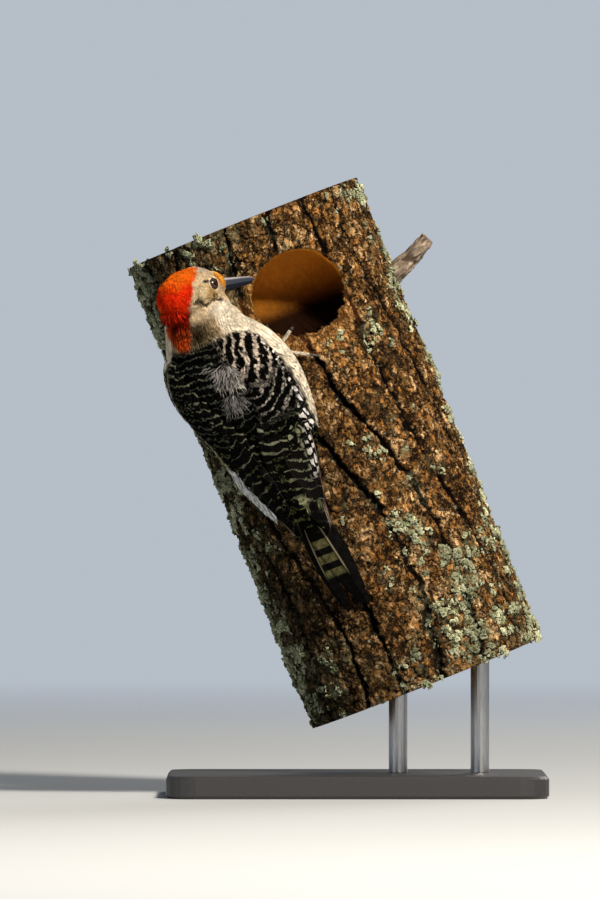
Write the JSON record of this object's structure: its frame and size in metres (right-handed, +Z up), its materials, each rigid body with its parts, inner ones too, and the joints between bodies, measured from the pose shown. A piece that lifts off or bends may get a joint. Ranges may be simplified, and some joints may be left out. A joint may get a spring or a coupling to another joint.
{
  "type": "red-bellied woodpecker",
  "caption": "Life-size display model of a female red-bellied woodpecker clinging to a leaning, lichened trunk beside its nest hole.",
  "frame": {"origin": "centre of the underside of the display stand's base", "axes": "+Z up; +X to the viewer's right and +Y away from the viewer, when the bird's back is seen as it clings to the left front of the trunk"},
  "size_m": [0.2237, 0.2142, 0.3318],
  "materials": {
    "feathers": "soft matt plumage, buff grey with an orange-red nape",
    "barred_feathers": "satin black feathers barred with off-white",
    "bill": "satin slate horn",
    "eye": "polished dark red-brown",
    "leg": "scaly grey-olive skin",
    "claw": "dark polished horn",
    "bark": "rough furrowed bark with grey-green lichen",
    "dead_wood": "weathered grey-brown wood",
    "stand_black": "satin black",
    "stand_steel": "brushed"
  },
  "bodies": {
    "root": {"head": "feathers", "neck": "feathers", "body": "feathers", "tail": "barred_feathers", "wing_right": "barred_feathers", "wing_left": "barred_feathers", "bill_upper": "bill", "bill_lower": "bill", "eye_right": "eye", "eye_left": "eye", "foot_right": "leg", "foot_left": "leg", "claw_right_hallux": "claw", "claw_right_inner_toe": "claw", "claw_right_middle_toe": "claw", "claw_right_outer_toe": "claw", "claw_left_hallux": "claw", "claw_left_inner_toe": "claw", "claw_left_middle_toe": "claw", "claw_left_outer_toe": "claw", "perch_trunk": "bark", "perch_branch_stub": "dead_wood", "stand_base": "stand_black", "stand_rod_1": "stand_steel", "stand_rod_2": "stand_steel"}
  },
  "joints": []
}
